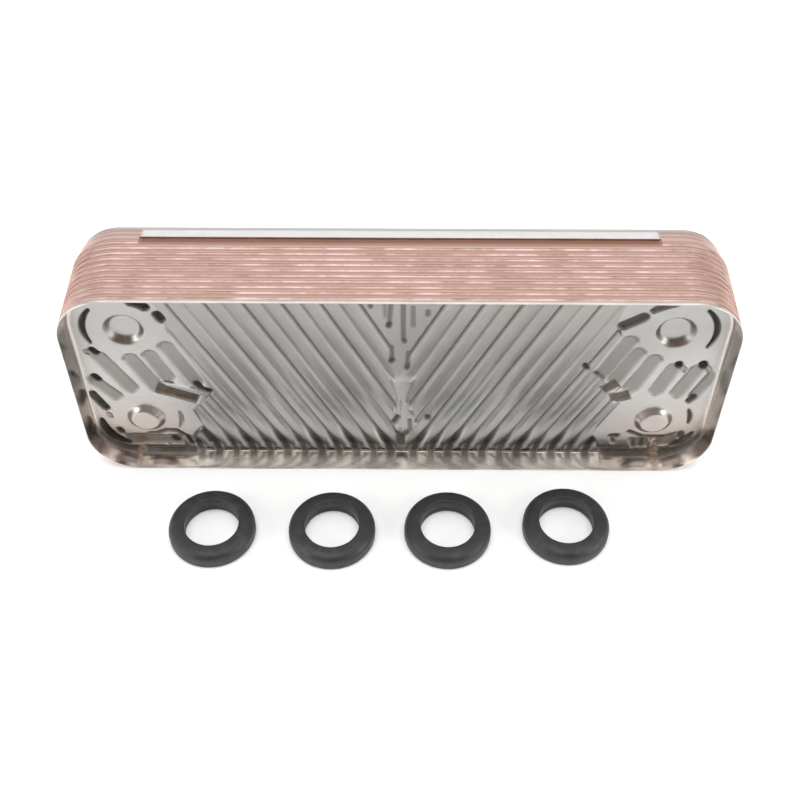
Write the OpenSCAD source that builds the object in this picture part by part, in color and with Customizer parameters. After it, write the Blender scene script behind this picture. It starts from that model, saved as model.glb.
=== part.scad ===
// Brazed plate heat exchanger for a combination boiler, with its four port seals.
// The stack stands on its long edge. +X runs along its length, +Z is up and +Y points out of
// the port side. The origin is the centre of the four ports, on the plane that the ends of the
// two fixing bushes seat on.

/* [Plates] */
// Length of a plate over its rim
plate_len = 209.6; // [190:0.2:260]
// Height of a plate over its rim
plate_wid = 80.2; // [76:0.2:110]
// Corner radius of the rim
corner_r = 17; // [14:0.5:22]
// Depth of the flared skirt, from the plate's face to its rim
skirt_h = 7.2; // [6:0.1:9]
// Thickness of the plate's sheet
sheet = 0.35; // [0.25:0.05:0.4]
// Angle by which the skirt flares outwards
flare = 10.6; // [10.6:0.1:14]
// Number of plates in the stack
plate_count = 12; // [6:2:20]
// Distance from one plate to the next
pitch = 2.45; // [2.45:0.05:3]

/* [Chevrons] */
// Distance along the length from one ridge to the next
ridge_step = 5.95; // [5:0.05:9]
// Angle between a ridge and the plate's length
ridge_angle = 64.5; // [50:0.5:70]
// Distance across the ridges from the field's centre to its first deep valley
valley_offset = 1.7; // [0:0.1:5]
// Depth to which the valleys are pressed below the ridges and the flat border
valley_depth = 2.0; // [1.2:0.05:2]
// Length of the chevron field at mid height
field_len = 150; // [130:1:156]
// Length of the chevron field at its top and bottom edges
field_top_len = 132; // [110:1:136]

/* [Ports] */
// Distance between port centres along the length
port_span = 172; // [165:1:176]
// Distance between port centres across the height
port_rise = 42; // [41:0.5:44]
// Radius of the water passage through a port
port_r = 7; // [6:0.1:7.5]
// Height of a port spigot above the cover plate
spigot_h = 2.5; // [1.5:0.1:4]
// Radius of a blind disc on the front plate, at its foot
disc_r = 6.7; // [5:0.1:6.8]
// Radius of a blind disc's flat
disc_flat_r = 4.3; // [3:0.1:4.8]
// Depth by which the blind discs are pressed in or out
disc_h = 1.9; // [1:0.05:2]

/* [Fixing bushes] */
// Distance between the two threaded bushes
bush_span = 172; // [150:1:176]
// Height of a bush, from the cover plate to the plane that it seats on
bush_h = 5; // [4.2:0.1:8]

/* [Cover] */
// Thickness of the cover plate
cover_t = 1.0; // [0.8:0.1:2]
// Distance of the cover plate's edge inside the rims
cover_inset = 1.7; // [1.5:0.1:2.5]
// Half length over which the rearmost plate's long skirts are cut back
trim_half = 81.2; // [60:0.2:85]
// Height of the lip that is left where the skirts are cut back
lip_h = 4.4; // [2.7:0.1:6]

/* [Seals] */
// Outer diameter of a seal
seal_od = 28.5; // [26:0.1:32]
// Inner diameter of a seal
seal_id = 17.7; // [17.6:0.1:19]
// Height of a seal
seal_h = 5.8; // [4:0.1:7]
// Distance from the front rim to the middle of the row of seals
seal_row = 25.6; // [20:0.2:60]

/* [Hidden] */
$fn = 96;
// Half length and half height of the straight core inside the corners.
core_x = plate_len / 2 - corner_r;
core_z = plate_wid / 2 - corner_r;
// Radius of a skirt's outside at depth d behind its rim.
function skirt_r(d) = corner_r - d * tan(flare);
wall = sheet / cos(flare);
bend = 0.9;
// Along Y: the cover plate's outer face, the front plate's face and the front plate's rim.
cover_y = -bush_h;
face_y = cover_y - cover_t - sheet - (plate_count - 1) * pitch;
rim_y = face_y - skirt_h;
// Ridges and their directions.
ridge_pitch = ridge_step * sin(ridge_angle);
field_half_z = plate_wid / 2 - 5.6;
// Lands round the ports: two that face each other leave a gap for the braze.
port_land_r = 10.5;
land_gap = 0.1;
land_step = (pitch - sheet - land_gap) / 2;
// Collars and bushes on the cover plate.
spigot_r = 8.6;
flange_r = 12;
flange_t = 0.8;
thread_r = 2.5;
bush_r = 4.6;
bush_floor = 0.8;
// Braze: the gap it fills round a collar, and the fillets between the rims.
braze_gap = 0.05;
fillet_len = 0.7;
fillet_gap = 0.015;
// Level of the surface that the exchanger and the seals stand on.
foot_z = -plate_wid / 2;
// Places of the four loose seals: along X, and towards the front from the row's middle line.
seal_places = [[-61.5, 0.8], [-22, 1.2], [16, 0.9], [55, -0.9]];

PORTS = ["upper_left", "upper_right", "lower_left", "lower_right"];
function port_side(n) = (n % 2 == 0) ? -1 : 1;
function port_level(n) = (n < 2) ? 1 : -1;
function two_digits(n) = str(n < 10 ? "0" : "", n);
function plate_name(n) = n == 0 ? "front_plate"
    : n == plate_count - 1 ? "rear_plate" : str("channel_plate_", two_digits(n));
function seam_name(n) = str("braze_seam_", two_digits(n));

// Places what is drawn with X along the length, Y up and Z towards the front.
module upright(y) {
    translate([0, y, 0]) rotate([90, 0, 0]) children();
}

// Sweeps a profile, drawn as [distance from the core, height], round the rounded rectangle.
module sweep_round(profile) {
    for (sx = [-1, 1], sy = [-1, 1])
        translate([sx * core_x, sy * core_z, 0])
            rotate([0, 0, sx > 0 ? (sy > 0 ? 0 : 270) : (sy > 0 ? 90 : 180)])
                rotate_extrude(angle = 90) polygon(profile);
    for (sx = [-1, 1])
        translate([sx * core_x, sx * core_z, 0]) rotate([90, 0, sx > 0 ? 0 : 180])
            linear_extrude(2 * core_z) polygon(profile);
    for (sy = [-1, 1])
        translate([-sy * core_x, sy * core_z, 0]) rotate([90, 0, sy > 0 ? 90 : 270])
            linear_extrude(2 * core_x) polygon(profile);
}

// The skirt's section: from the flat rim strip, round the bend and out to the rim.
function skirt_profile() =
    let (foot = skirt_r(skirt_h), strip = 3)
    [
        [foot - strip, -sheet],
        [foot - bend, -sheet],
        [foot - bend * 0.3, -sheet + bend * 0.2],
        [skirt_r(skirt_h - bend), bend],
        [skirt_r(0), skirt_h],
        [skirt_r(0) - wall, skirt_h],
        [skirt_r(skirt_h - bend) - wall, bend],
        [foot - bend * 0.3 - wall, sheet * 0.4],
        [foot - bend - sheet * 0.5, 0],
        [foot - strip, 0]
    ];

// Outline of the chevron field, drawn in by inset on every side.
function field_outline(inset) =
    let (top = field_top_len / 2 - inset, mid = field_len / 2 - inset, z = field_half_z - inset)
    [[-top, z], [-mid, z * 0.12], [-mid, -z * 0.12], [-top, -z],
     [top, -z], [mid, -z * 0.12], [mid, z * 0.12], [top, z]];

// Section across the ridges: every other valley is deeper than its neighbours.
function ridge_level(k) = k % 2 != 0 ? 0 : (k % 4 == 0 ? -1 : -0.75) * valley_depth;
function ridge_point(k) = [valley_offset + k * ridge_pitch / 2, ridge_level(k)];
function ridge_section(count) = concat(
    [for (k = [-count : count]) ridge_point(k)],
    [for (k = [count : -1 : -count]) ridge_point(k) - [0, sheet]]);

// The left half of the chevron field, with its ridges running down towards the middle.
module half_chevrons() {
    reach = field_len / 2 + plate_wid;
    count = ceil(reach / ridge_pitch) * 2;
    intersection() {
        rotate([0, 0, 90 - ridge_angle])
            rotate([90, 0, 0])
                translate([0, 0, -plate_wid])
                    linear_extrude(2 * plate_wid)
                        polygon(ridge_section(count));
        translate([0, 0, -5])
            linear_extrude(10)
                intersection() {
                    polygon(field_outline(sheet / 2));
                    translate([-field_len, -plate_wid]) square([field_len, 2 * plate_wid]);
                }
    }
}

// The wall that joins the ridges' ends to the flat border.
module field_rim() {
    translate([0, 0, -sheet - valley_depth])
        linear_extrude(sheet + valley_depth)
            difference() {
                polygon(field_outline(0));
                polygon(field_outline(sheet));
            }
}

// How far forwards the land of a port steps on plate n. The two levels take turns. The front
// plate is blind and has no lands, so those behind it reach all the way. The last plate lies
// flat against the cover plate, so none of its lands steps backwards.
function land_height(n, level) =
    let (turn = level * (n % 2 == 0 ? -1 : 1))
    n == 0 ? 0
    : n == 1 && turn > 0 ? 2 * land_step
    : n == plate_count - 1 ? max(turn, 0) * land_step
    : turn * land_step;

// The flat border of plate n with its ports.
module flat_border(n) {
    foot = skirt_r(skirt_h) - 1.5;
    hole_r = n == 0 ? disc_r + sheet / 2 : port_land_r - sheet / 2;
    difference() {
        translate([0, 0, -sheet])
            linear_extrude(sheet)
                difference() {
                    square([2 * (core_x + foot), 2 * (core_z + foot)], center = true);
                    if (n < plate_count - 1) polygon(field_outline(sheet / 2));
                    for (p = [0 : 3])
                        translate([port_side(p) * port_span / 2, port_level(p) * port_rise / 2])
                            circle(hole_r);
                }
        for (sx = [-1, 1], sy = [-1, 1])
            translate([sx * (core_x + foot), sy * (core_z + foot), -5])
                rotate([0, 0, 45])
                    cube([foot, foot, 20], center = true);
    }
    for (p = [0 : 3])
        translate([port_side(p) * port_span / 2, port_level(p) * port_rise / 2, 0]) {
            if (n > 0) port_land(land_height(n, port_level(p)));
            else if (port_level(p) < 0) blind_disc();
            else translate([0, 0, -sheet]) mirror([0, 0, 1]) blind_disc();
        }
}

// One port's step: a short wall and a flat land with the water passage in it.
module port_land(z) {
    difference() {
        translate([0, 0, min(z, 0) - sheet])
            cylinder(r = port_land_r, h = abs(z) + sheet);
        if (z > 0)
            translate([0, 0, -sheet - 1])
                cylinder(r = port_land_r - sheet, h = z + 1);
        if (z < 0)
            translate([0, 0, z])
                cylinder(r = port_land_r - sheet, h = 1 - z);
        translate([0, 0, -5])
            cylinder(r = port_r, h = 10);
    }
}

// The coned disc that closes a port in the front plate, pressed out of the sheet.
module blind_disc() {
    taper = (disc_r - disc_flat_r) / disc_h;
    difference() {
        union() {
            translate([0, 0, -sheet]) cylinder(r = disc_r + sheet, h = sheet);
            cylinder(r1 = disc_r, r2 = disc_flat_r, h = disc_h);
        }
        translate([0, 0, -2 * sheet])
            cylinder(r1 = disc_r + sheet * taper, r2 = disc_flat_r, h = disc_h + sheet);
    }
}

module tray(n) {
    last = n == plate_count - 1;
    difference() {
        union() {
            sweep_round(skirt_profile());
            flat_border(n);
            if (!last) {
                field_rim();
                for (flip = [0, 1])
                    mirror([flip, 0, 0]) mirror([0, n % 2, 0]) half_chevrons();
            }
        }
        if (last)
            for (sy = [-1, 1])
                translate([-trim_half, sy * plate_wid / 2 - 5, lip_h])
                    cube([2 * trim_half, 10, skirt_h]);
    }
}

module plate(n) {
    tint = n == 0 ? "silver" : n == plate_count - 1 ? "rosybrown" : "lightsalmon";
    color(tint) upright(face_y + n * pitch) tray(n);
}

// The copper fillet that fills the corner between one plate's skirt and the next plate's rim.
module braze_seam(n) {
    rim = rim_y + n * pitch;
    profile = [
        [skirt_r(pitch) + fillet_gap, fillet_gap],
        [skirt_r(0) - wall * 0.35, fillet_gap],
        [skirt_r(pitch - fillet_len) + fillet_gap, fillet_len]
    ];
    color("peru") difference() {
        upright(rim) sweep_round(profile);
        if (n == plate_count - 1)
            translate([-trim_half, rim - 5, -plate_wid])
                cube([2 * trim_half, 10, 2 * plate_wid]);
    }
}

module cover_plate() {
    r = corner_r - cover_inset;
    color("gainsboro") upright(cover_y) linear_extrude(cover_t) difference() {
        union() {
            square([2 * core_x, 2 * (core_z + r)], center = true);
            square([2 * (core_x + r), 2 * core_z], center = true);
            for (sx = [-1, 1], sy = [-1, 1])
                translate([sx * core_x, sy * core_z]) circle(r);
        }
        for (n = [0 : 3])
            translate([port_side(n) * port_span / 2, port_level(n) * port_rise / 2])
                circle(spigot_r + braze_gap);
    }
}

// A turned collar: it passes through the cover plate, with a flange on the plate's outer face
// and a spigot that a seal slips over.
module port_collar(n) {
    color("lightgray")
        translate([port_side(n) * port_span / 2, cover_y, port_level(n) * port_rise / 2])
            rotate([-90, 0, 0]) difference() {
                union() {
                    cylinder(r = flange_r, h = flange_t);
                    translate([0, 0, -cover_t]) cylinder(r = spigot_r, h = cover_t + spigot_h);
                }
                translate([0, 0, -cover_t - 1]) cylinder(r = port_r, h = cover_t + spigot_h + 2);
            }
}

module mounting_bushes() {
    color("lightgray")
        for (sx = [-1, 1])
            translate([sx * bush_span / 2, cover_y, 0]) rotate([-90, 0, 0]) difference() {
                cylinder(r = bush_r, h = bush_h);
                translate([0, 0, bush_floor]) cylinder(r = thread_r, h = bush_h);
            }
}

// A rubber ring with a wide chamfer outside and a raised lip round its bore.
module port_seal(n) {
    ro = seal_od / 2;
    ri = seal_id / 2;
    place = seal_places[n - 1];
    color("dimgray")
        translate([place[0], rim_y - seal_row - place[1], foot_z])
            rotate_extrude() polygon([
                [ri + 0.5, 0], [ro - 0.7, 0], [ro, 0.7], [ro, seal_h - 2.8], [ro - 2.2, seal_h - 0.4],
                [ri + 1.4, seal_h], [ri, seal_h - 0.7], [ri, 0.5]
            ]);
}

for (n = [0 : plate_count - 1])
    plate(n);
for (n = [1 : plate_count - 1])
    braze_seam(n);
cover_plate();
for (n = [0 : 3])
    port_collar(n);
mounting_bushes();
for (n = [1 : 4])
    port_seal(n);
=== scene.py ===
import math

import bpy
import numpy as np
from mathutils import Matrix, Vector, noise


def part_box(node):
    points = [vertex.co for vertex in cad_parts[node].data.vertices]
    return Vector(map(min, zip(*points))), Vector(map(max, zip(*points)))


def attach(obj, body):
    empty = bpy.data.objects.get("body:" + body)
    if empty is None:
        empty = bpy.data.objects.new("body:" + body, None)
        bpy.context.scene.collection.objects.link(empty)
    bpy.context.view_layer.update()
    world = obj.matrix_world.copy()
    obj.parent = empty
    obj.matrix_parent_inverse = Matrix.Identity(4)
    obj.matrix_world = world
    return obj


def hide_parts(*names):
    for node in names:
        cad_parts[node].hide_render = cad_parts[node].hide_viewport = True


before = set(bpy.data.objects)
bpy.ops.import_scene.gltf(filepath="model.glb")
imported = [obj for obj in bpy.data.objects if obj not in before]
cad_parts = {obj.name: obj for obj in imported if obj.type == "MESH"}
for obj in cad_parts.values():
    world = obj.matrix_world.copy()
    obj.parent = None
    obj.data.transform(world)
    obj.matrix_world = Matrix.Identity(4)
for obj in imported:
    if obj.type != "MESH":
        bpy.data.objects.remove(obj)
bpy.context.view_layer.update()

# ---------------------------------------------------------------- sizes, in millimetres
MM = 0.001
front_low, front_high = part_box("front_plate")
RIM_X = front_high.x / MM
RIM_Z = front_high.z / MM
RIM_Y = front_low.y / MM
FLOOR_Z = front_low.z / MM

# The front plate: sheet, skirt depth and flare, rim corner radius, and the radius inside the bend.
SHEET = 0.35
SKIRT_H = 7.2
FLARE = math.radians(10.6)
CORNER = 17.0
BEND = 0.8
FACE_Y = RIM_Y + SKIRT_H
# The stack of plates.
PITCH = 2.45
PLATES = 12
LAST_CHANNEL = f"channel_plate_{PLATES - 2:02d}"
# Half the distances between the ports, and the cut in the rear plate's long skirts.
PORT_X = 86.0
PORT_Z = 21.0
TRIM_X = 81.2
# The discs that close the ports: foot, flat and depth of the upper pits and of the lower bosses.
DISC_FOOT = 6.7
PIT_FLAT = 4.3
PIT_DEPTH = 2.0
BOSS_FLAT = 4.1
BOSS_HEIGHT = 1.9
BOSS_SHIFT = 0.6
# The chevrons: ridge angle, distance between deep valleys, the line where the two halves meet,
# the first deep valley, and how far the whole field lies below the border.
RIDGE_ANGLE = math.radians(64.5)
DEEP_PERIOD = 11.9 * math.sin(RIDGE_ANGLE)
FIELD_MIDDLE = 0.85
DEEP_AT = 1.7
FIELD_DROP = 0.3
CHANNEL_DEPTH = 0.65
# The face's mesh: cell size, how much coarser its back is, and the rings up to the skirt's rim.
CELL_X = 0.26
CELL_Z = 0.52
BACK_STEP = 4
INNER_RINGS = 12

# Copper runs on the front plate: place, radius and strength.
STAINS = [
    (-89.4, -33.0, 4.0, 0.7),
    (-89.2, -37.6, 3.2, 0.8),
    (92.0, -32.0, 5.0, 0.5),
    (88.0, -33.4, 2.6, 0.9),
    (87.8, -37.6, 3.2, 0.9),
    (8.8, -18.6, 3.0, 0.5),
    (0.8, -36.0, 4.0, 0.5),
]


# ---------------------------------------------------------------- small maths on arrays
def smooth(x, low, high):
    """Rises from 0 at low to 1 at high."""
    t = np.clip((x - low) / (high - low), 0.0, 1.0)
    return t * t * (3.0 - 2.0 * t)


def to_segment(x, z, start, end):
    """Distance from each point to the segment from start to end."""
    ax, az = start
    bx, bz = end
    dx, dz = bx - ax, bz - az
    t = np.clip(((x - ax) * dx + (z - az) * dz) / (dx * dx + dz * dz), 0.0, 1.0)
    return np.hypot(x - ax - t * dx, z - az - t * dz)


def to_arc(x, z, centre, radius, first, last, taper):
    """Distance to an arc, given in degrees, that grows by taper towards the arc's two ends."""
    px, pz = x - centre[0], z - centre[1]
    middle = math.radians((first + last) / 2)
    half = math.radians((last - first) / 2)
    off = np.abs((np.arctan2(pz, px) - middle + math.pi) % (2 * math.pi) - math.pi) / half
    beyond = radius * half * np.maximum(off - 1.0, 0.0)
    return np.hypot(np.hypot(px, pz) - radius, beyond) + taper * np.minimum(off, 1.0) ** 2


def in_bar(x, z, start, end, width):
    """Distance outside a square-ended bar, negative inside it, plus half its width."""
    ax, az = start
    dx, dz = end[0] - ax, end[1] - az
    length = math.hypot(dx, dz)
    along = np.abs(((x - ax) * dx + (z - az) * dz) / length - length / 2) - length / 2
    across = np.abs((x - ax) * dz - (z - az) * dx) / length - width / 2
    return np.maximum(along, across) + width / 2


def pressed(distance, width, edge=0.8):
    """1 inside a groove of this width and 0 outside it, with a soft edge."""
    return 1.0 - smooth(distance, width / 2 - edge / 2, width / 2 + edge / 2)


def inside_outline(x, z):
    """Distance from the edge of the plate's flat face, positive inside."""
    reach_x, reach_z, radius = flat_size()
    qx = np.abs(x) - (reach_x - radius)
    qz = np.abs(z) - (reach_z - radius)
    outside = np.hypot(np.maximum(qx, 0), np.maximum(qz, 0))
    return radius - outside - np.minimum(np.maximum(qx, qz), 0)


def flat_size():
    """Half length, half height and corner radius of the flat face, inside the bend."""
    wall = SHEET / math.cos(FLARE)
    inset = wall + (SKIRT_H - BEND * (1 - math.sin(FLARE))) * math.tan(FLARE)
    inset += BEND * math.cos(FLARE)
    return RIM_X - inset, RIM_Z - inset, CORNER - inset


# ---------------------------------------------------------------- the pressed face
# Where the ridged field ends, as (height, distance from x = 0) for each end of the plate.
FIELD_EDGE = {
    -1: [(-37, 71.0), (-29, 70.0), (-25.6, 66.6), (-17, 69.0), (-13, 65.0), (-8, 62.0), (-2.6, 63.8),
         (6.7, 67.2), (19, 72.2), (26, 73.2), (32, 75.5)],
    1: [(-37, 69.5), (-30, 66.0), (-25.6, 66.7), (-16.4, 70.9), (-12, 73.0), (-6, 69.4), (-1, 65.8),
        (2.4, 62.2), (19, 69.3), (24, 67.4), (32, 69.0)],
}
# Broad shallow channels between the ports: start, end and width.
CHANNELS = [
    ((-73.8, 12.9), (-66.6, -3.6), 5.0),
    ((-79.6, 9.0), (-75.4, -1.4), 4.8),
    ((-86.0, 7.4), (-79.4, -6.4), 4.9),
    ((-96.0, 8.2), (-88.2, -6.4), 4.9),
    ((-99.6, -3.4), (-94.0, -10.4), 4.4),
    ((72.2, 16.4), (66.0, 2.0), 5.2),
    ((75.4, 11.2), (69.8, -1.6), 4.9),
    ((81.2, 8.2), (75.4, -5.4), 4.9),
    ((88.0, 4.2), (84.0, -6.6), 4.7),
    ((95.6, 3.4), (91.2, -7.8), 4.7),
    ((101.2, 1.0), (97.2, -8.6), 3.8),
]
# Narrow grooves and pits: start, end, width, depth, and how much soot and painted shade lies in them.
GROOVES = [
    ((-66.4, -4.6), (-65.4, -6.4), 2.0, 1.2, 1.0),
    ((-65.4, -6.4), (-62.6, -7.9), 1.8, 1.2, 1.0),
    ((-97.6, 11.6), (-96.8, 10.4), 2.3, 1.2, 1.0),
    ((-99.6, 10.9), (-98.6, 10.3), 1.8, 0.6, 0.35),
    ((-99.2, -0.9), (-98.4, -2.2), 2.4, 1.2, 1.0),
    ((-101.2, -1.6), (-100.4, -2.4), 1.6, 0.6, 0.35),
    ((-101.6, -9.2), (-98.4, -16.2), 2.5, 1.3, 0.95),
    ((-97.9, -19.8), (-97.6, -21.0), 1.4, 0.5, 0.35),
    ((-95.6, -27.8), (-95.2, -29.2), 2.0, 1.2, 0.95),
    ((-85.4, -29.6), (-82.4, -29.3), 0.9, 0.6, 0.8),
    ((-82.4, -29.3), (-79.4, -27.9), 1.2, 0.7, 0.85),
    ((-79.4, -27.9), (-76.0, -28.3), 1.2, 0.7, 0.85),
    ((-76.0, -28.3), (-72.9, -31.4), 1.2, 0.8, 0.9),
    ((-72.9, -31.4), (-71.8, -35.0), 1.5, 0.9, 0.95),
    ((-77.4, -32.4), (-76.8, -33.2), 2.1, 0.8, 1.0),
    ((-71.0, -32.8), (-69.0, -29.2), 0.9, 0.6, 0.7),
    ((-69.0, -29.2), (-67.2, -29.4), 0.9, 0.6, 0.75),
    ((-67.2, -29.4), (-65.2, -34.6), 1.4, 1.0, 0.9),
    ((69.3, 23.8), (74.8, 27.4), 3.3, 1.5, 0.8),
    ((59.4, 5.6), (60.2, 3.8), 1.4, 1.0, 0.95),
    ((63.1, 2.2), (64.0, 1.2), 1.0, 0.7, 0.8),
    ((65.2, 0.0), (65.8, -0.6), 1.0, 0.7, 0.6),
    ((89.3, 6.5), (89.6, 5.3), 2.1, 1.2, 1.0),
    ((90.9, 4.6), (91.6, 3.6), 1.7, 0.6, 0.35),
    ((97.1, 6.6), (97.5, 5.2), 2.4, 1.2, 1.0),
    ((99.0, 4.6), (99.5, 3.6), 1.7, 0.6, 0.35),
    ((95.8, -11.2), (96.8, -9.8), 2.0, 1.1, 0.85),
    ((95.9, -28.4), (96.3, -29.8), 2.0, 1.1, 0.8),
    ((78.2, -27.6), (82.6, -30.0), 1.2, 0.9, 0.9),
    ((82.6, -30.0), (90.0, -30.2), 1.2, 0.9, 0.85),
    ((90.0, -30.2), (94.0, -28.6), 1.2, 0.9, 0.6),
    ((72.4, -30.0), (74.2, -29.8), 1.7, 1.0, 0.9),
    ((72.8, -30.8), (73.4, -33.4), 1.2, 0.9, 0.7),
    ((79.4, -31.6), (80.6, -35.6), 1.4, 0.6, 0.7),
    ((83.2, -31.6), (83.4, -35.6), 1.0, 0.6, 0.75),
    ((-8.9, 33.0), (-8.9, 31.2), 0.9, 0.5, 0.6),
    ((-4.6, 33.0), (-4.4, 27.0), 0.7, 0.4, 0.35),
    ((-2.6, 33.0), (-3.2, 23.6), 0.9, 0.7, 0.45),
    ((-3.2, 23.8), (-3.4, 23.0), 1.3, 0.9, 0.8),
    ((1.1, 33.0), (1.2, 16.4), 0.9, 0.7, 0.45),
    ((1.3, 17.0), (1.5, 16.0), 1.0, 0.8, 0.7),
    ((4.1, 31.0), (4.2, 22.8), 0.9, 0.6, 0.35),
    ((8.7, 29.4), (8.7, 27.8), 1.0, 0.6, 0.5),
    ((-2.6, 13.6), (-2.5, 7.4), 0.9, 0.8, 0.45),
    ((-2.4, 7.6), (-2.7, 6.8), 1.3, 1.0, 0.8),
    ((2.9, 11.0), (2.5, 4.4), 0.9, 0.8, 0.45),
    ((2.5, 4.6), (2.4, 3.6), 1.2, 1.0, 0.7),
    ((-0.6, -20.2), (-1.9, -23.2), 1.3, 0.9, 0.8),
    ((9.3, -20.3), (9.5, -21.1), 1.5, 0.9, 0.85),
    ((3.4, -22.0), (3.6, -27.4), 0.8, 0.5, 0.5),
    ((0.2, -31.0), (0.4, -34.5), 2.6, 0.7, 0.85),
]
# Grooves that the braze has left brown: start, end, width, depth and strength.
BROWN_GROOVES = [
    ((-79.6, -6.4), (-66.9, -11.9), 3.9, 1.1, 1.0),
    ((66.6, -6.8), (70.9, -3.4), 3.6, 1.1, 0.85),
    ((69.8, -10.8), (75.4, -8.6), 3.8, 1.1, 0.85),
    ((-94.0, -33.0), (-86.0, -32.4), 5.0, 0.5, 0.7),
    ((-86.0, -32.9), (-74.6, -32.9), 4.4, 0.6, 0.55),
    ((80.2, -33.2), (85.2, -33.2), 4.2, 0.6, 0.75),
    ((88.4, -32.8), (95.0, -31.6), 4.6, 0.4, 0.55),
]
# Arcs: centre, radius, first and last angle, taper, width, depth, and soot and painted shade.
ARCS = [
    ((-PORT_X, PORT_Z), 12.8, 138, 206, 0.4, 1.4, 1.2, 0.9),
    ((-PORT_X, PORT_Z), 12.7, 51, 72, 0.0, 2.8, 1.4, 1.0),
    ((-PORT_X, PORT_Z), 13.1, 21, 30, 0.0, 2.5, 1.4, 0.95),
    ((-PORT_X, -PORT_Z), 12.4, -24, 12, 0.3, 1.0, 0.6, 0.45),
    ((-87.8, -23.1), 13.0, 178, 244, 0.9, 3.0, 1.3, 1.0),
    ((PORT_X, PORT_Z), 12.6, -30, 48, 0.4, 1.3, 1.2, 0.9),
    ((PORT_X, PORT_Z), 12.6, 98, 132, 0.3, 2.4, 1.2, 0.7),
    ((PORT_X, -PORT_Z), 11.6, -8, 26, 0.3, 1.0, 0.8, 0.85),
    ((87.8, -23.1), 13.0, -64, -22, 0.8, 2.4, 1.2, 0.9),
]
# Fine raised lines: start, end, width and height.
LINES = [
    ((-76.4, -3.6), (-66.4, -7.6), 1.4, 0.25),
    ((66.8, -8.0), (72.0, -6.4), 0.9, 0.25),
    ((74.6, -6.2), (66.8, -22.0), 0.8, 0.3),
    ((-80.2, -30.8), (-80.0, -35.4), 1.3, 0.5),
    ((86.4, -32.0), (86.6, -35.4), 1.4, 0.5),
    ((-0.2, -12.0), (0.2, -26.0), 0.8, 0.2),
    ((1.9, -14.0), (2.2, -27.0), 0.9, 0.25),
    ((4.8, -20.0), (5.2, -25.0), 0.9, 0.2),
]


def field_share(x, z):
    """1 inside the ridged field and 0 at the two ends of the plate."""
    share = np.zeros_like(x)
    for side, edge in FIELD_EDGE.items():
        reach = np.interp(z, [point[0] for point in edge], [point[1] for point in edge])
        here = side * (x - FIELD_MIDDLE) >= 0
        share = np.where(here, smooth(reach - np.abs(x), -0.5, 0.5), share)
    # A smooth pad with a narrow waist lies where the lower chevrons meet.
    waist_z = [-29.0, -25.0, -17.0, -11.5, -9.0, -4.0, 0.0]
    half = np.interp(z, waist_z, [3.6, 3.7, 2.5, 1.4, 1.7, 3.3, 4.1])
    shift = np.interp(z, [-27.0, -12.0], [1.8, 0.9])
    pad = smooth(half - np.abs(x - shift), -0.9, 0.7) * smooth(-z, -1.2, 3.0) * smooth(z, -31.0, -26.0)
    return share * (1.0 - pad)


def chevrons(x, z):
    """Depth of the chevron valleys, and the painted shade and soot that darken them."""
    from_middle = np.hypot(x - FIELD_MIDDLE, 0.7)
    across = z * math.cos(RIDGE_ANGLE) - from_middle * math.sin(RIDGE_ANGLE)
    turn = (across - DEEP_AT) / DEEP_PERIOD
    deep = np.abs(turn - np.round(turn)) * DEEP_PERIOD
    shallow = DEEP_PERIOD / 2 - deep
    # The valleys are deeper in the lower half, and open out towards the lower edge.
    lower = smooth(-z, -5.0, 20.0)
    open_deep = smooth(-z, 25.5, 35.0)
    open_shallow = smooth(-z, 28.5, 35.5)
    wide_deep = 1.35 + 0.2 * lower + 1.0 * open_deep
    wide_shallow = 1.2 + 0.1 * lower + 0.9 * open_shallow
    deep_share = 1.0 - smooth(deep / wide_deep, 0.0, 1.0)
    shallow_share = 1.0 - smooth(shallow / wide_shallow, 0.0, 1.0)
    # The field starts at the first valley, whose two arms don't meet.
    inside = smooth(DEEP_AT + 1.8 - across, 0.0, 1.0)
    first = smooth(across, DEEP_AT - 2.0, DEEP_AT - 1.4)
    inside = inside * (1.0 - first * (1.0 - smooth(np.abs(x - 0.3), 2.2, 3.2)))
    depth = np.maximum(
        deep_share * (0.75 + 0.25 * lower + 0.4 * open_deep),
        shallow_share * (0.3 + 0.25 * lower + 0.6 * open_shallow),
    )
    crest = 0.08 * np.cos(4 * math.pi * turn)
    half_deep = 0.55 + 1.5 * open_deep
    half_shallow = 0.45 + 1.2 * open_shallow
    # Painted shade: the valleys are darkened along their lines, most where they open out at the lower
    # edge.
    dark_deep = 1.0 - smooth(deep / half_deep, 0.35, 1.0)
    dark_shallow = 1.0 - smooth(shallow / half_shallow, 0.35, 1.0)
    soot_and_shade = np.maximum(dark_deep * (0.34 + 0.6 * open_deep), dark_shallow * (0.16 + 0.74 * open_shallow))
    return (depth + crest) * inside, soot_and_shade * inside


def port_discs(x, z):
    """The upper ports are pressed in and the lower ports are pressed out."""
    height = np.zeros_like(x)
    for side in (-1, 1):
        upper = np.hypot(x - side * PORT_X, z - PORT_Z)
        height -= PIT_DEPTH * (1.0 - smooth(upper, PIT_FLAT, DISC_FOOT))
        lower = np.hypot(x - side * (PORT_X - BOSS_SHIFT), z + PORT_Z)
        height += BOSS_HEIGHT * (1.0 - smooth(lower, BOSS_FLAT, DISC_FOOT))
    return height


def painted_wall_reflection(x, z):
    """Painted reflection: brown on the part of each disc's wall that faces up, below on the pits and
    above on the bosses.
    """
    wall_r = 5.6
    wall_width = 2.4
    film_and_reflection = np.zeros_like(x)
    below = (1, math.radians(-104.0), 0.9)
    above = (-1, math.radians(60.0), 0.65)
    for side in (-1, 1):
        for level, aim, strength in (below, above):
            px, pz = side * (x - side * PORT_X), z - level * PORT_Z
            off = np.abs((np.arctan2(pz, -px) - aim + math.pi) % (2 * math.pi) - math.pi)
            ring = pressed(np.abs(np.hypot(px, pz) - wall_r), wall_width, 1.0)
            film_and_reflection = np.maximum(film_and_reflection, strength * ring * (1.0 - smooth(off, 0.3, 0.85)))
    return film_and_reflection


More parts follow.
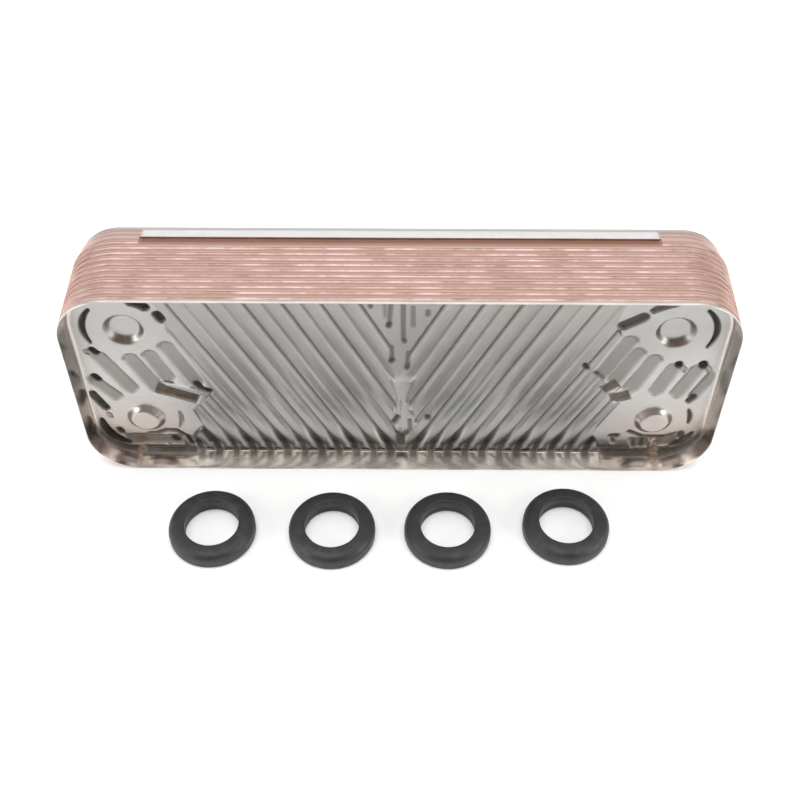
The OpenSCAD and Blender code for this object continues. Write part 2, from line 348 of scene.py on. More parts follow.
def press_grooves(x, z, height, soot_and_shade, border):
    """Presses the narrow grooves and the arcs into the face, with the soot and painted shade that darken
    them.
    """
    grooves = [(to_segment(x, z, start, end), *rest) for start, end, *rest in GROOVES]
    for centre, radius, first, last, taper, *rest in ARCS:
        grooves.append((to_arc(x, z, centre, radius, first, last, taper), *rest))
    for distance, width, deep, dark in grooves:
        share = pressed(distance, width, 1.1)
        height = np.minimum(height, height * (1 - share) - deep * share * border)
        # Painted shade and soot: each groove is darkened a little beyond its edge.
        soot_and_shade = np.maximum(soot_and_shade, dark * pressed(distance, width + 0.6, 1.1))
    return height, soot_and_shade


def face(x, z):
    """Height of the front plate's face over its flat border, and its soot and painted shade, its tone of
    painted shade and dullness, and its brown film and painted wall reflections.
    """
    # All pressing fades out towards the bend.
    border = smooth(inside_outline(x, z), 0.3, 2.4)
    # The channels stay off the lands of the next plate, which lie close behind the upper ports.
    off_lands = smooth(np.hypot(np.abs(x) - PORT_X, z - PORT_Z), 10.6, 11.4)
    field = field_share(x, z)
    valley, soot_and_shade = chevrons(x, z)
    depth = field * border * (FIELD_DROP + valley)
    soot_and_shade = soot_and_shade * field
    # Painted shade: tone makes the field darker than the pads, more so towards the top, darkens the upper
    # pads, and makes the channels darkest; it also dulls the steel a little.
    tone = np.where(field > 0, 0.2 + 0.5 * smooth(z, -20.0, 15.0), 0.0) * field
    tone = np.maximum(tone, 0.45 * smooth(z, -6.0, 24.0) * (1.0 - field))
    for start, end, width in CHANNELS:
        share = pressed(to_segment(x, z, start, end), width, 2.0)
        depth = np.maximum(depth, CHANNEL_DEPTH * share * off_lands * border)
        tone = np.maximum(tone, share)
    height = port_discs(x, z) - depth
    for start, end, width, high in LINES:
        share = pressed(to_segment(x, z, start, end), width, 0.8)
        height = height + high * share
        # Painted highlight: the raised lines keep a lighter steel.
        tone = tone * (1.0 - 0.8 * share)
    height, soot_and_shade = press_grooves(x, z, height, soot_and_shade, border)
    # Painted reflection: brown on the disc walls that face up, besides the real brown film in the brown
    # grooves.
    brown = painted_wall_reflection(x, z)
    for start, end, width, deep, strength in BROWN_GROOVES:
        distance = in_bar(x, z, start, end, width)
        share = pressed(distance, width, 1.2)
        height = np.minimum(height, height * (1 - share) - deep * share * border)
        brown = np.maximum(brown, strength * pressed(distance, width + 0.3, 0.7))
    return height, soot_and_shade, tone, brown


# ---------------------------------------------------------------- mesh helpers
def make_mesh(name, points, groups):
    """Builds an object from points in millimetres and groups of faces, each with its own corner count."""
    mesh = bpy.data.meshes.new(name)
    points = np.asarray(points, np.float32) * MM
    groups = [np.asarray(group, np.int32) for group in groups]
    corners = np.concatenate([group.ravel() for group in groups])
    counts = np.concatenate([np.full(len(group), group.shape[1]) for group in groups])
    starts = np.concatenate([[0], np.cumsum(counts)[:-1]]).astype(np.int32)
    mesh.vertices.add(len(points))
    mesh.vertices.foreach_set("co", points.ravel())
    mesh.loops.add(len(corners))
    mesh.loops.foreach_set("vertex_index", corners)
    mesh.polygons.add(len(starts))
    mesh.polygons.foreach_set("loop_start", starts)
    mesh.polygons.foreach_set("use_smooth", np.ones(len(starts), bool))
    mesh.update(calc_edges=True)
    mesh.validate()
    obj = bpy.data.objects.new(name, mesh)
    bpy.context.scene.collection.objects.link(obj)
    return obj


def set_attribute(obj, name, values):
    attribute = obj.data.attributes.new(name, "FLOAT", "POINT")
    attribute.data.foreach_set("value", np.asarray(values, np.float32))


def set_normals(obj, normals):
    """Gives the first vertices their exact normals, and the others their own."""
    mesh = obj.data
    found = np.zeros(len(mesh.vertices) * 3, np.float32)
    mesh.vertices.foreach_get("normal", found)
    found = found.reshape(-1, 3)
    found[: len(normals)] = normals
    mesh.normals_split_custom_set_from_vertices(found)


def wobble(x, y, z, scale, seed):
    """Smooth noise from about -1 to 1 at one point."""
    return noise.noise(Vector((x / scale + seed, y / scale - seed, z / scale + 2 * seed)))


# ---------------------------------------------------------------- the front plate
def face_grid():
    """The grid of the flat face, with its four corners drawn in to arcs."""
    reach_x, reach_z, radius = flat_size()
    count_x = BACK_STEP * round(2 * reach_x / CELL_X / BACK_STEP) + 1
    count_z = BACK_STEP * round(2 * reach_z / CELL_Z / BACK_STEP) + 1
    x, z = np.meshgrid(np.linspace(-reach_x, reach_x, count_x), np.linspace(-reach_z, reach_z, count_z))
    u = (np.abs(x) - (reach_x - radius)) / radius
    v = (np.abs(z) - (reach_z - radius)) / radius
    corner = (u > 0) & (v > 0)
    u = np.where(corner, u, 0.0)
    v = np.where(corner, v, 0.0)
    round_x = (reach_x - radius) + radius * u * np.sqrt(1 - v * v / 2)
    round_z = (reach_z - radius) + radius * v * np.sqrt(1 - u * u / 2)
    x = np.where(corner, np.sign(x) * round_x, x)
    z = np.where(corner, np.sign(z) * round_z, z)
    return x, z


def edge_loop(rows, columns):
    """Indices of the grid's outer points, counter-clockwise as seen from the front."""
    bottom = [c for c in range(columns)]
    right = [r * columns + columns - 1 for r in range(1, rows)]
    top = [(rows - 1) * columns + c for c in range(columns - 2, -1, -1)]
    left = [r * columns for r in range(rows - 2, 0, -1)]
    return np.array(bottom + right + top + left)


def outward(x, z):
    """Unit directions that point out of the flat face's outline."""
    reach_x, reach_z, radius = flat_size()
    ox = np.sign(x) * np.maximum(np.abs(x) - (reach_x - radius), 0)
    oz = np.sign(z) * np.maximum(np.abs(z) - (reach_z - radius), 0)
    in_corner = (np.abs(ox) > 1e-6) & (np.abs(oz) > 1e-6)
    side = np.abs(ox) > np.abs(oz)
    ox = np.where(in_corner, ox, np.where(side, np.sign(ox), 0.0))
    oz = np.where(in_corner, oz, np.where(side, 0.0, np.sign(oz)))
    length = np.hypot(ox, oz)
    return ox / length, oz / length


def skirt_section():
    """The skirt's section as (distance out, height) from the flat face, round the rim and back."""
    turn = math.pi / 2 - FLARE
    inner = [(BEND * math.sin(a), BEND * (1 - math.cos(a))) for a in np.linspace(0, turn, 7)[1:]]
    foot_out, foot_up = inner[-1]
    tip_up = SKIRT_H - SHEET / 2
    for share in np.linspace(0, 1, 7)[1:]:
        up = foot_up + (tip_up - foot_up) * share
        inner.append((foot_out + (up - foot_up) * math.tan(FLARE), up))
    rim_out = inner[-1][0] + SHEET / 2 / math.cos(FLARE)
    tip = []
    for a in np.linspace(math.pi, 0, 7)[1:-1]:
        tip.append((rim_out + SHEET / 2 * math.cos(a), tip_up + SHEET / 2 * math.sin(a)))
    outer = [(out + SHEET / math.cos(FLARE), up) for out, up in inner[:5:-1]]
    wide = BEND + SHEET
    outer += [(wide * math.sin(a), BEND - wide * math.cos(a)) for a in np.linspace(turn, 0, 7)[1:]]
    return inner + tip + outer


def back_faces(rows, columns, loop_at, inner_at):
    """Coarse faces of the plate's hidden back, whose outer ones keep every point of the edge."""
    groups = {}
    for r in range(0, rows - 1, BACK_STEP):
        for c in range(0, columns - 1, BACK_STEP):
            top, right = r + BACK_STEP, c + BACK_STEP
            path = [(k, c) for k in range(r, top)] + [(top, k) for k in range(c, right)]
            path += [(k, right) for k in range(top, r, -1)] + [(r, k) for k in range(right, c, -1)]
            face_points = []
            for row, column in path:
                if row in (0, rows - 1) or column in (0, columns - 1):
                    face_points.append(loop_at[row, column])
                elif row % BACK_STEP == 0 and column % BACK_STEP == 0:
                    face_points.append(inner_at[row, column])
            groups.setdefault(len(face_points), []).append(face_points)
    return list(groups.values())


def deepest(height):
    """How deep the face goes near each point of the coarse back, which stays behind it."""
    rows, columns = height.shape
    padded = np.pad(-height, BACK_STEP, mode="edge")
    depth = np.zeros((1 + (rows - 1) // BACK_STEP, 1 + (columns - 1) // BACK_STEP))
    for r in range(2 * BACK_STEP + 1):
        for c in range(2 * BACK_STEP + 1):
            depth = np.maximum(depth, padded[r : r + rows : BACK_STEP, c : c + columns : BACK_STEP])
    return depth


def face_normals(x, z):
    """The face's exact normals, from how its height changes over a short step."""
    step = 0.03
    slope_x = (face(x + step, z)[0] - face(x - step, z)[0]) / (2 * step)
    slope_z = (face(x, z + step)[0] - face(x, z - step)[0]) / (2 * step)
    normal = np.stack([-slope_x, -np.ones_like(x), -slope_z], -1)
    normal /= np.linalg.norm(normal, axis=-1, keepdims=True)
    return normal.reshape(-1, 3)


def skirt_rings(edge_x, edge_z, waves):
    """Rings of points that carry the face's edge out along the skirt, round its rim and back."""
    out_x, out_z = outward(edge_x, edge_z)
    rings = []
    for out, up in skirt_section():
        lift = 0.06 * (waves - 1.0) * smooth(np.array(up), 3.0, SKIRT_H)
        rings.append(np.stack([edge_x + out_x * out, FACE_Y - up - lift, edge_z + out_z * out], -1))
    return rings


def hidden_back(x, z, height):
    """Points of the coarse back: a sheet's thickness behind all that lies in front of them."""
    back_x = x[::BACK_STEP, ::BACK_STEP][1:-1, 1:-1]
    back_z = z[::BACK_STEP, ::BACK_STEP][1:-1, 1:-1]
    back_depth = deepest(height)[1:-1, 1:-1]
    return np.stack([back_x, FACE_Y + SHEET + back_depth, back_z], -1).reshape(-1, 3)


def plate_faces(x, loop, ring_count):
    """The plate's faces: the pressed face, the skirt and the coarse back."""
    rows, columns = x.shape
    count, size = x.size, len(loop)
    index = np.arange(count).reshape(rows, columns)
    a, b = index[:-1, :-1].ravel(), index[:-1, 1:].ravel()
    c, d = index[1:, 1:].ravel(), index[1:, :-1].ravel()
    # Each cell's diagonal runs along the ridges.
    right_half = (x.ravel()[a] >= FIELD_MIDDLE)[:, None]
    quads = [np.where(right_half, np.stack([a, b, c, d], -1), np.stack([b, c, d, a], -1))]
    around = [loop] + [count + r * size + np.arange(size) for r in range(ring_count)]
    for near, far in zip(around[:-1], around[1:]):
        quads.append(np.stack([near, far, np.roll(far, -1), np.roll(near, -1)], -1))
    loop_at = {divmod(int(place), columns): int(around[-1][k]) for k, place in enumerate(loop)}
    inner = count + ring_count * size
    inner_at = {}
    for row in range(BACK_STEP, rows - 1, BACK_STEP):
        for column in range(BACK_STEP, columns - 1, BACK_STEP):
            inner_at[row, column] = inner + len(inner_at)
    return [np.concatenate(quads)] + back_faces(rows, columns, loop_at, inner_at)


def skirt_painted_shade(edge_x, edge_z, waves):
    """Painted shade in the lower fold, and painted reflections of the valleys run on to the skirt, ring
    by ring.
    """
    field_end = 70.0
    at_field = 1.0 - smooth(np.abs(edge_x), field_end - 1.0, field_end + 1.0)
    low_edge = smooth(-edge_z, 22.0, 29.0)
    valleys = chevrons(edge_x, edge_z)[1] * at_field
    # Beside the field the fold's painted shade is pale between the valleys. Beyond it the fold is painted
    # dark and wider.
    soot_and_shade = []
    for _, up in skirt_section()[:INNER_RINGS]:
        in_bend = 1.0 - smooth(up - (1.0 - at_field) * (1.0 + 0.5 * waves), 0.2, 1.9)
        # Painted reflection: below each valley the skirt is darkened, fading towards the rim.
        runs = valleys * (0.9 - 0.9 * smooth(up, 1.4, 6.0))
        fold = in_bend * (0.9 - 0.62 * at_field + 0.6 * valleys)
        soot_and_shade.append(np.maximum(runs, fold) * low_edge)
    return np.concatenate(soot_and_shade)


def front_plate():
    """The front plate's mesh, with its soot and painted shade, its tone of painted shade and dullness,
    its brown film and painted reflections, its polish and painted sheen, and its copper runs.
    """
    x, z = face_grid()
    height, soot_and_shade, tone, brown = face(x, z)
    face_points = np.stack([x, FACE_Y - height, z], -1).reshape(-1, 3)
    loop = edge_loop(*x.shape)
    edge_x, edge_z = x.ravel()[loop], z.ravel()[loop]
    wavelength = 34.0
    waves = np.array([wobble(px, 0, pz, wavelength, 3.1) for px, pz in zip(edge_x, edge_z)])
    rings = skirt_rings(edge_x, edge_z, waves)
    points = np.concatenate([face_points] + rings + [hidden_back(x, z, height)])
    plate = make_mesh("front_plate_pressed", points, plate_faces(x, loop, len(rings)))
    set_normals(plate, face_normals(x, z))

    beyond = points[x.size :]
    none = np.zeros(len(beyond))
    low_painted_shade = skirt_painted_shade(edge_x, edge_z, waves)
    # Painted sheen and polish: the skirt is brighter and smoother from the bend on, and less so at the
    # two ends of the plate.
    at_ends = smooth(np.abs(beyond[:, 0]), RIM_X - 9.0, RIM_X - 5.0)
    at_edge = 1.0 - smooth(inside_outline(x, z).ravel(), 0.0, 0.8)
    set_attribute(plate, "soot_and_shade", np.concatenate([soot_and_shade.ravel(), low_painted_shade, none[len(low_painted_shade) :]]))
    set_attribute(plate, "tone", np.concatenate([tone.ravel(), none]))
    set_attribute(plate, "brown", np.concatenate([brown.ravel(), none]))
    set_attribute(plate, "polish_and_sheen", np.concatenate([at_edge, 1.0 - 0.5 * at_ends]))
    set_attribute(plate, "stain", front_stain(points))
    return plate


def front_stain(points):
    """Where copper from the furnace has run on the front plate, from 0 to 1."""
    x, z = points[:, 0], points[:, 2]
    stain = np.zeros(len(points))
    for sx, sz, radius, strength in STAINS:
        near = 1.0 - smooth(np.hypot(x - sx, z - sz), radius * 0.3, radius)
        stain = np.maximum(stain, strength * near)
    return stain


# ---------------------------------------------------------------- seals
def seal_section(outer, inner, height):
    """A rubber ring's section: a wide rounded shoulder outside and a raised lip round the bore."""
    edge = 0.7
    wide = 2.9
    bead = 0.5
    section = []
    for a in np.linspace(-math.pi / 2, 0, 6):
        section.append((outer - edge + edge * math.cos(a), edge + edge * math.sin(a)))
    for a in np.linspace(0, math.radians(62), 9):
        section.append((outer - wide + wide * math.cos(a), height - wide + 2.7 * math.sin(a)))
    # A slight dip parts the shoulder from the lip.
    section.append((inner + 2.3, height - 0.16))
    section.append((inner + 1.9, height - 0.2))
    for a in np.linspace(math.pi / 2, math.pi, 7):
        section.append((inner + edge + edge * math.cos(a), height - edge + edge * math.sin(a)))
    # The bore is a little wider below the lip.
    section.append((inner + 0.05, height * 0.55))
    section.append((inner + 0.25, height * 0.5))
    section.append((inner + 0.25, height * 0.3))
    for a in np.linspace(math.pi, math.pi * 1.5, 5):
        section.append((inner + 0.6 + bead * math.cos(a), bead + bead * math.sin(a)))
    return section


def lathe(name, section, centre, ripple, seed):
    """Turns a closed section of (radius, height) round an upright line, with a faint ripple."""
    turns = 160
    angles = np.linspace(0, 2 * math.pi, turns, endpoint=False)
    points = []
    for a in angles:
        for radius, up in section:
            r = radius + ripple * wobble(math.cos(a) * 9, math.sin(a) * 9, up, 4.0, seed)
            points.append((centre[0] + r * math.cos(a), centre[1] + r * math.sin(a), centre[2] + up))
    size = len(section)
    index = np.arange(turns * size).reshape(turns, size)
    ahead = np.roll(index, -1, 0)
    quads = np.stack([index, ahead, np.roll(ahead, -1, 1), np.roll(index, -1, 1)], -1).reshape(-1, 4)
    return make_mesh(name, points, [quads])


def rubber_seal(number):
    """One seal, on the place that its CAD node has on the surface."""
    node = f"port_seal_{number}"
    low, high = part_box(node)
    centre = ((low.x + high.x) / 2 / MM, (low.y + high.y) / 2 / MM, low.z / MM)
    ripple = 0.03
    bore = 8.9
    outer = (high.x - low.x) / 2 / MM - ripple
    section = seal_section(outer, bore, (high.z - low.z) / MM)
    seal = lathe(f"{node}_moulded", section, centre, ripple, number * 1.7)
    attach(seal, f"seal_{number}")
    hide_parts(node)
    return seal


# ---------------------------------------------------------------- materials
class Tree:
    """A short way to add shader nodes and link them. A source is a socket, a number or a colour."""

    def __init__(self, tree):
        self.tree = tree

    def add(self, kind, **settings):
        made = self.tree.nodes.new(kind)
        for key, value in settings.items():
            setattr(made, key, value)
        return made

    def put(self, source, socket):
        if isinstance(source, (int, float, tuple)):
            socket.default_value = source
        else:
            self.tree.links.new(source, socket)

    def axis(self, which, space="Object"):
        place = self.add("ShaderNodeTexCoord")
        parts = self.add("ShaderNodeSeparateXYZ")
        self.put(place.outputs[space], parts.inputs[0])
        return parts.outputs[which]

    def ramp(self, source, low, high, out_low=0.0, out_high=1.0):
        made = self.add("ShaderNodeMapRange", interpolation_type="SMOOTHSTEP")
        made.inputs["From Min"].default_value = low
        made.inputs["From Max"].default_value = high
        made.inputs["To Min"].default_value = out_low
        made.inputs["To Max"].default_value = out_high
        self.put(source, made.inputs["Value"])
        return made.outputs["Result"]

    def math(self, operation, one, two=0.0):
        made = self.add("ShaderNodeMath", operation=operation)
        self.put(one, made.inputs[0])
        self.put(two, made.inputs[1])
        return made.outputs[0]

    def mix(self, share, one, two):
        made = self.add("ShaderNodeMix", data_type="RGBA")
        self.put(share, made.inputs[0])
        self.put(one, made.inputs[6])
        self.put(two, made.inputs[7])
        return made.outputs[2]


class Surface(Tree):
    """A material and its nodes."""

    def __init__(self, name):
        self.material = bpy.data.materials.new(name)
        self.material.use_nodes = True
        super().__init__(self.material.node_tree)
        self.shader = self.tree.nodes["Principled BSDF"]

    def noise(self, scale, detail=3.0, rough=0.55, stretch=(1.0, 1.0, 1.0)):
        place = self.add("ShaderNodeTexCoord")
        mapping = self.add("ShaderNodeMapping")
        mapping.inputs["Scale"].default_value = stretch
        self.put(place.outputs["Object"], mapping.inputs["Vector"])
        made = self.add("ShaderNodeTexNoise")
        made.inputs["Scale"].default_value = scale
        made.inputs["Detail"].default_value = detail
        made.inputs["Roughness"].default_value = rough
        self.put(mapping.outputs["Vector"], made.inputs["Vector"])
        return made.outputs["Fac"]

    def value(self, name):
        return self.add("ShaderNodeAttribute", attribute_name=name).outputs["Fac"]

    def bump(self, height, strength, distance=0.2 * MM):
        made = self.add("ShaderNodeBump")
        made.inputs["Strength"].default_value = strength
        made.inputs["Distance"].default_value = distance
        self.put(height, made.inputs["Height"])
        self.put(made.outputs["Normal"], self.shader.inputs["Normal"])


STEEL = (0.505, 0.50, 0.485, 1.0)
STEEL_WARM = (0.47, 0.457, 0.437, 1.0)
STEEL_GREY = (0.445, 0.445, 0.43, 1.0)
STEEL_BLUSH = (0.54, 0.46, 0.42, 1.0)
FIELD_SHADE_STEEL = (0.272, 0.262, 0.246, 1.0)
FIELD_SHADE_WARM = (0.235, 0.228, 0.215, 1.0)
SKIRT_SHEEN_STEEL = (0.70, 0.64, 0.59, 1.0)
SKIRT_DULL = (0.42, 0.375, 0.34, 1.0)
LIP_STEEL = (0.84, 0.83, 0.82, 1.0)
SOOT_AND_SHADE = (0.024, 0.016, 0.011, 1.0)
BROWN = (0.085, 0.060, 0.040, 1.0)
BROWN_PALE = (0.13, 0.095, 0.07, 1.0)
COPPER = (0.68, 0.475, 0.425, 1.0)
COPPER_PALE = (0.71, 0.525, 0.475, 1.0)
COPPER_DARK = (0.44, 0.27, 0.22, 1.0)
RUBBER = (0.018, 0.018, 0.019, 1.0)
RUBBER_DUSTY = (0.034, 0.034, 0.033, 1.0)
LIP_GAP_SHADE = (0.30, 0.13, 0.08, 1.0)
RUN_DARK = (0.19, 0.115, 0.075, 1.0)
RUN_PALE = (0.36, 0.235, 0.165, 1.0)


def bare_steel(n, tone):
    """Steel that is clean on the pads, darker with painted shade where tone is high, and brighter with a
    painted sheen on the skirt.
    """
    clouds = n.ramp(n.noise(38.0, 4.0), 0.35, 0.70)
    mottle = n.ramp(n.noise(170.0, 4.0, 0.65), 0.42, 0.68)
    clean = n.mix(clouds, n.mix(n.math("MULTIPLY", mottle, 0.6), STEEL, STEEL_GREY), STEEL_WARM)
    # The lower pads have a pink blush.
    at_ends = n.ramp(n.math("ABSOLUTE", n.axis("X")), 68.0 * MM, 80.0 * MM)
    blush = n.math("MULTIPLY", at_ends, n.ramp(n.axis("Z"), -26.0 * MM, -6.0 * MM, 0.65, 0.0))
    clean = n.mix(blush, clean, STEEL_BLUSH)
    # Painted shade: the field and the channels get a darker steel.
    metal = n.mix(tone, clean, n.mix(clouds, FIELD_SHADE_STEEL, FIELD_SHADE_WARM))
    # The lower skirt has more dull patches than the rest of it.
    low = n.ramp(n.axis("Z"), -36.0 * MM, -28.0 * MM, 1.0, 0.25)
    patches = n.math("MULTIPLY", n.ramp(n.noise(75.0, 3.0), 0.38, 0.62), low)
    # Painted sheen: the skirt gets a brighter, pinker steel.
    return n.mix(n.value("polish_and_sheen"), metal, n.mix(patches, SKIRT_SHEEN_STEEL, SKIRT_DULL))


def pressed_steel():
    """The front plate's steel, with soot, painted shade and brown film in its grooves, painted
    reflections on its disc walls and skirt, and copper runs.
    """
    n = Surface("pressed_steel")
    tone = n.value("tone")
    metal = bare_steel(n, tone)
    ragged = n.math("ADD", n.value("stain"), n.ramp(n.noise(260.0, 4.0), 0.3, 0.7, -0.3, 0.2))
    stain = n.ramp(ragged, 0.12, 1.0, 0.0, 0.95)
    metal = n.mix(stain, metal, n.mix(n.ramp(n.noise(330.0, 3.0), 0.4, 0.65), RUN_PALE, RUN_DARK))
    # Brown film in the brown grooves, and painted reflection on the disc walls.
    film_and_reflection = n.mix(n.ramp(n.noise(420.0, 3.0), 0.35, 0.65), BROWN, BROWN_PALE)
    metal = n.mix(n.value("brown"), metal, film_and_reflection)
    # Soot and painted shade in the valleys, grooves, pits and the skirt's fold, and painted reflections
    # of the valleys on the skirt.
    soot_and_shade = n.math("MULTIPLY", n.value("soot_and_shade"), n.ramp(n.noise(300.0, 3.0), 0.2, 0.6, 0.9, 1.0))
    soot_and_shade = n.math("MULTIPLY", soot_and_shade, n.ramp(stain, 0.2, 0.9, 1.0, 0.35))
    n.put(n.mix(soot_and_shade, metal, SOOT_AND_SHADE), n.shader.inputs["Base Color"])
    # Dirt of any kind, painted shade and painted reflection hide the metal.
    dirt_and_shade = n.math("MAXIMUM", soot_and_shade, n.math("MULTIPLY", n.math("MAXIMUM", n.value("brown"), stain), 0.85))
    n.put(n.ramp(dirt_and_shade, 0.2, 0.9, 1.0, 0.0), n.shader.inputs["Metallic"])
    n.shader.inputs["Specular IOR Level"].default_value = 0.15
    grain = n.noise(900.0, 2.0, 0.6, (0.06, 1.0, 1.0))
    rough = n.math("ADD", n.ramp(grain, 0.3, 0.7, 0.27, 0.33), n.math("MULTIPLY", tone, 0.08))
    rough = n.math("SUBTRACT", rough, n.math("MULTIPLY", n.value("polish_and_sheen"), 0.15))
    n.put(n.math("ADD", rough, n.math("MULTIPLY", dirt_and_shade, 0.3)), n.shader.inputs["Roughness"])
    n.bump(grain, 0.04)
    return n.material


def copper_wash(name, seed, steel_lip=False, lip_gap_shade=False):
    """Stainless sheet washed with copper, with dark lines of painted shade between the rims."""
    n = Surface(name)
    drift = n.ramp(n.noise(24.0 + seed, 4.0, 0.6, (1.0, 3.0, 3.0)), 0.36, 0.66)
    fine = n.ramp(n.noise(330.0, 3.0), 0.35, 0.7)
    colour = n.mix(drift, COPPER, COPPER_PALE)
    colour = n.mix(n.math("MULTIPLY", fine, 0.10), colour, STEEL)
    behind = n.math("WRAP", n.math("SUBTRACT", n.axis("Y"), RIM_Y * MM), 2 * PITCH * MM)
    behind.node.inputs[2].default_value = 0.0
    # Painted shade: two dark copper lines in each pair of rims stand for the shade in the gaps between
    # one plate's tip and the next skirt.
    for place in (1.38, 3.5):
        off = n.math("ABSOLUTE", n.math("SUBTRACT", behind, place * MM))
        rim_gap_shade = n.ramp(off, 0.2 * MM, 0.85 * MM, 0.62, 0.0)
        colour = n.mix(rim_gap_shade, colour, COPPER_DARK)
    # Painted shade: the last channel plate's skirt is darkened red-brown just in front of the rear
    # plate's lip, where that lip is cut away.
    if lip_gap_shade:
        near = n.ramp(n.axis("Y"), (FACE_Y + 17.8) * MM, (FACE_Y + 20.6) * MM, 0.0, 0.9)
        across = n.math("ABSOLUTE", n.axis("X"))
        middle = n.ramp(across, (TRIM_X - 1.0) * MM, (TRIM_X + 0.2) * MM, 1.0, 0.0)
        colour = n.mix(n.math("MULTIPLY", near, middle), colour, LIP_GAP_SHADE)
    if steel_lip:
        across = n.math("ABSOLUTE", n.axis("X"))
        ends = n.ramp(across, (TRIM_X - 1.2) * MM, (TRIM_X + 0.3) * MM)
        colour = n.mix(ends, LIP_STEEL, colour)
    n.put(colour, n.shader.inputs["Base Color"])
    n.shader.inputs["Metallic"].default_value = 1.0
    n.put(n.ramp(fine, 0.0, 1.0, 0.40, 0.50), n.shader.inputs["Roughness"])
    n.bump(n.noise(600.0, 2.0), 0.08)
    return n.material


def braze():
    """Lumpy copper of the seams between the rims."""
    n = Surface("braze_copper")
    lumps = n.noise(420.0, 3.0, 0.6)
    tone = n.ramp(n.noise(90.0, 3.0), 0.35, 0.65)
    n.put(n.mix(tone, COPPER_DARK, COPPER), n.shader.inputs["Base Color"])
    n.shader.inputs["Metallic"].default_value = 1.0
    n.put(n.ramp(lumps, 0.3, 0.7, 0.45, 0.62), n.shader.inputs["Roughness"])
    n.bump(lumps, 0.4)
    return n.material


def plain_steel(name, colour, rough, grain_stretch):
    """Brushed or turned steel of the port side."""
    n = Surface(name)
    grain = n.noise(700.0, 2.0, 0.6, grain_stretch)
    tint = n.ramp(n.noise(24.0, 3.0), 0.35, 0.7)
    n.put(n.mix(tint, colour, STEEL_WARM), n.shader.inputs["Base Color"])
    n.shader.inputs["Metallic"].default_value = 1.0
    n.put(n.ramp(grain, 0.3, 0.7, rough, rough + 0.12), n.shader.inputs["Roughness"])
    n.bump(grain, 0.06)
    return n.material


def seal_rubber():
    """Black rubber with a little dust and faint moulding marks."""
    n = Surface("seal_rubber")
    dust = n.ramp(n.noise(240.0, 4.0, 0.65), 0.42, 0.75)
    marks = n.noise(90.0, 3.0, 0.5, (1.0, 1.0, 6.0))
    n.put(n.mix(dust, RUBBER, RUBBER_DUSTY), n.shader.inputs["Base Color"])
    n.put(n.ramp(marks, 0.3, 0.7, 0.42, 0.58), n.shader.inputs["Roughness"])
    n.bump(n.noise(900.0, 3.0), 0.15, 0.3 * MM)
    return n.material


def give(obj, material):
    """Makes this the object's only material."""
    obj.data.materials.clear()
    obj.data.materials.append(material)


# ---------------------------------------------------------------- the object
front = front_plate()
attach(front, "exchanger")
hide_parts("front_plate")
give(front, pressed_steel())

washes = [copper_wash(f"copper_wash_{k}", k) for k in range(3)]
lip_gap_shade_wash = copper_wash("lip_gap_shade_wash", 1, lip_gap_shade=True)
rear_wash = copper_wash("rear_wash", 4, steel_lip=True)
braze_metal = braze()
cover_metal = plain_steel("cover_steel", STEEL, 0.26, (0.05, 1.0, 1.0))
turned_metal = plain_steel("turned_steel", STEEL, 0.22, (1.0, 1.0, 1.0))
for name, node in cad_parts.items():
    if name == LAST_CHANNEL:
        give(node, lip_gap_shade_wash)
    elif name.startswith("channel_plate_"):
        give(node, washes[int(name[-2:]) % 3])
    elif name == "rear_plate":
        give(node, rear_wash)
    elif name.startswith("braze_seam_"):
        give(node, braze_metal)
    elif name == "cover_plate":
        give(node, cover_metal)
    elif name.startswith("port_collar_") or name == "mounting_bushes":
        give(node, turned_metal)

rubber = seal_rubber()
for number in range(1, 5):
    give(rubber_seal(number), rubber)


# ---------------------------------------------------------------- stage, lights and camera
ROOM_DIM = (0.10, 0.085, 0.075, 1.0)
WHITE = (1.0, 1.0, 1.0, 1.0)


def pale_floor():
    """A wide round floor with a low wall far away, both in metres."""
    mesh = bpy.data.meshes.new("floor")
    reach = 8.0
    wall = 0.65
    sides = 64
    low = (FLOOR_Z - 0.1) * MM
    turns = [2 * math.pi * k / sides for k in range(sides)]
    ring = [(reach * math.cos(a), reach * math.sin(a)) for a in turns]
    corners = [(x, y, low) for x, y in ring] + [(x, y, low + wall) for x, y in ring]
    walls = [(k, (k + 1) % sides, sides + (k + 1) % sides, sides + k) for k in range(sides)]
    mesh.from_pydata(corners, [], [tuple(range(sides))] + walls)
    floor = bpy.data.objects.new("floor", mesh)
    bpy.context.scene.collection.objects.link(floor)
    n = Surface("floor_white")
    tint = n.mix(n.noise(3.0), (0.93, 0.93, 0.93, 1.0), (0.95, 0.95, 0.95, 1.0))
    n.put(tint, n.shader.inputs["Base Color"])
    n.shader.inputs["Roughness"].default_value = 0.9
    n.shader.inputs["Specular IOR Level"].default_value = 0.1
    n.shader.inputs["Emission Color"].default_value = WHITE
    n.shader.inputs["Emission Strength"].default_value = 0.08
    give(floor, n.material)


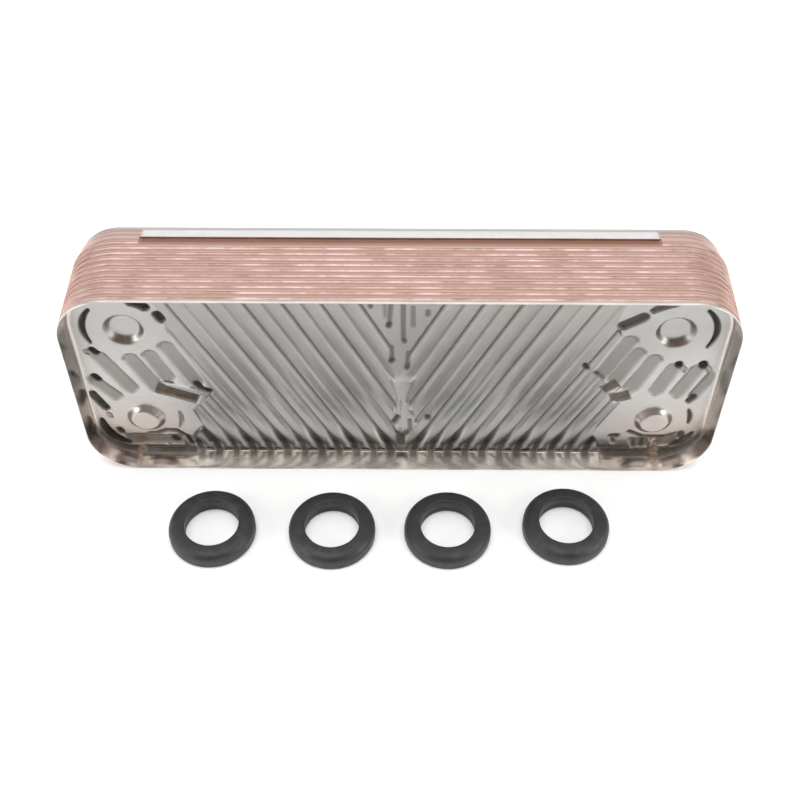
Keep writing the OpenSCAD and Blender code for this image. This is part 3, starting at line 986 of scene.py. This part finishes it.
def area_light(name, place, target, size, power):
    """A soft rectangular light that the camera doesn't see. Sizes are in metres."""
    light = bpy.data.lights.new(name, "AREA")
    light.shape = "RECTANGLE"
    light.size, light.size_y = size
    light.energy = power
    lamp = bpy.data.objects.new(name, light)
    bpy.context.scene.collection.objects.link(lamp)
    lamp.location = place
    aim = Vector(target) - Vector(place)
    lamp.rotation_euler = aim.to_track_quat("-Z", "Y").to_euler()
    lamp.visible_camera = False
    return lamp


def studio():
    """Bright cloth behind and overhead, a dim room in front, and a soft box at each side."""
    world = bpy.data.worlds.new("studio")
    bpy.context.scene.world = world
    world.use_nodes = True
    n = Tree(world.node_tree)
    back = n.axis("Y", "Generated")
    up = n.axis("Z", "Generated")
    behind = n.math("MULTIPLY", n.ramp(back, -0.15, 0.3), n.ramp(up, 0.3, 0.7, 0.75, 1.35))
    bright = n.math("MAXIMUM", behind, n.ramp(up, 0.78, 0.93, 0.0, 1.35))
    room = n.mix(bright, ROOM_DIM, WHITE)
    room.node.clamp_factor = False
    n.put(room, n.tree.nodes["Background"].inputs["Color"])
    target = (0, -0.02, 0)
    ceiling = (1.2, 1.1)
    side_box = (0.8, 0.6)
    # About half of the light from above doesn't show in the metal.
    area_light("overhead", (0, -0.1, 1.3), target, ceiling, 5.0)
    fill = area_light("overhead_fill", (0, -0.1, 1.32), target, ceiling, 4.0)
    fill.visible_glossy = False
    for side in (-1, 1):
        area_light(f"side_{side + 1}", (side * 0.95, -0.4, 0.42), target, side_box, 6.0)
    bpy.context.scene.view_settings.view_transform = "Standard"


def camera():
    """A camera in front of the object that looks down at it."""
    data = bpy.data.cameras.new("camera")
    data.sensor_width = 36.0
    data.lens = 54.6
    data.clip_start = 0.01
    cam = bpy.data.objects.new("camera", data)
    bpy.context.scene.collection.objects.link(cam)
    # The place is in millimetres from the middle, from the rim and from the surface.
    aside = 1.96
    ahead = 255.9
    above = 332.3
    down = 49.11
    heading = 0.40
    cam.location = (aside * MM, (RIM_Y - ahead) * MM, (FLOOR_Z + above) * MM)
    cam.rotation_euler = (math.radians(90.0 - down), 0.0, math.radians(heading))
    bpy.context.scene.camera = cam


pale_floor()
studio()
camera()
